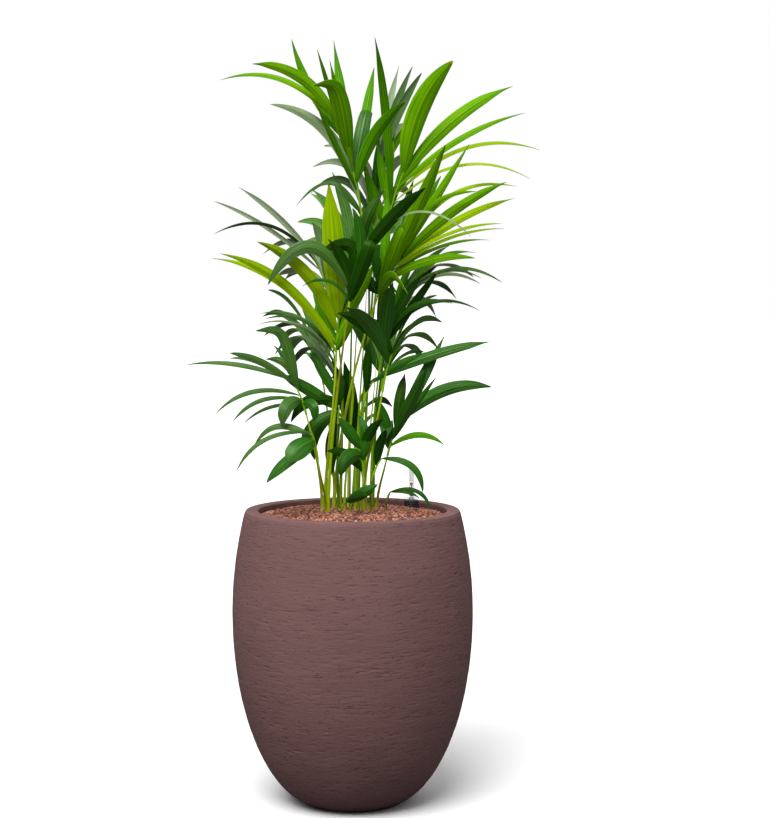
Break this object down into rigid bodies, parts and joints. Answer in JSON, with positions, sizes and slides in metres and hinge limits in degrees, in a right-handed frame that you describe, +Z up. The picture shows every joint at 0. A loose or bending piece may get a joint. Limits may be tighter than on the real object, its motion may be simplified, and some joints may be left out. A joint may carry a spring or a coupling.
{
  "type": "kentia palm in a planter",
  "caption": "Potted kentia palm: a clump of slender stalks with arching feathered fronds, in a round matt planter filled with clay granules and a water gauge.",
  "frame": {"origin": "centre of the planter's flat underside", "axes": "+Z up, -Y towards the viewer that the clump faces, +X to that viewer's right"},
  "size_m": [0.5936, 0.5235, 1.274],
  "materials": {
    "planter_clay": "matt mauve-brown clay with dragged streaks and small pits",
    "granules": "dull terracotta expanded clay",
    "gauge_collar": "dark satin plastic",
    "gauge_tube": "clear plastic",
    "stalk": "smooth yellow-green to olive skin",
    "blade": "soft-glossed green leaf with fine lengthwise veins"
  },
  "bodies": {
    "root": {"frond_back_left": "blade", "frond_back_right": "blade", "frond_centre_front": "blade", "frond_crown_back": "blade", "frond_crown_left": "blade", "frond_crown_right": "blade", "frond_front_drape": "blade", "frond_left_fan": "blade", "frond_left_inner": "blade", "frond_left_low": "blade", "frond_left_mid": "blade", "frond_left_rear_low": "blade", "frond_low_front": "blade", "frond_low_right": "blade", "frond_rear_high": "blade", "frond_rear_left": "blade", "frond_rear_low": "blade", "frond_rear_right": "blade", "frond_right_blade": "blade", "frond_right_fan": "blade", "frond_right_inner": "blade", "frond_right_low": "blade", "frond_seedling_front": "blade", "frond_seedling_right": "blade", "gauge_collar": "gauge_collar", "gauge_tube": "gauge_tube", "granule_fill": "granules", "planter": "planter_clay", "stalk_back_left": "stalk", "stalk_back_right": "stalk", "stalk_centre_front": "stalk", "stalk_crown_back": "stalk", "stalk_crown_left": "stalk", "stalk_crown_right": "stalk", "stalk_front_drape": "stalk", "stalk_left_fan": "stalk", "stalk_left_inner": "stalk", "stalk_left_low": "stalk", "stalk_left_mid": "stalk", "stalk_left_rear_low": "stalk", "stalk_low_front": "stalk", "stalk_low_right": "stalk", "stalk_rear_high": "stalk", "stalk_rear_left": "stalk", "stalk_rear_low": "stalk", "stalk_rear_right": "stalk", "stalk_right_blade": "stalk", "stalk_right_fan": "stalk", "stalk_right_inner": "stalk", "stalk_right_low": "stalk", "stalk_seedling_front": "stalk", "stalk_seedling_right": "stalk"}
  },
  "joints": []
}
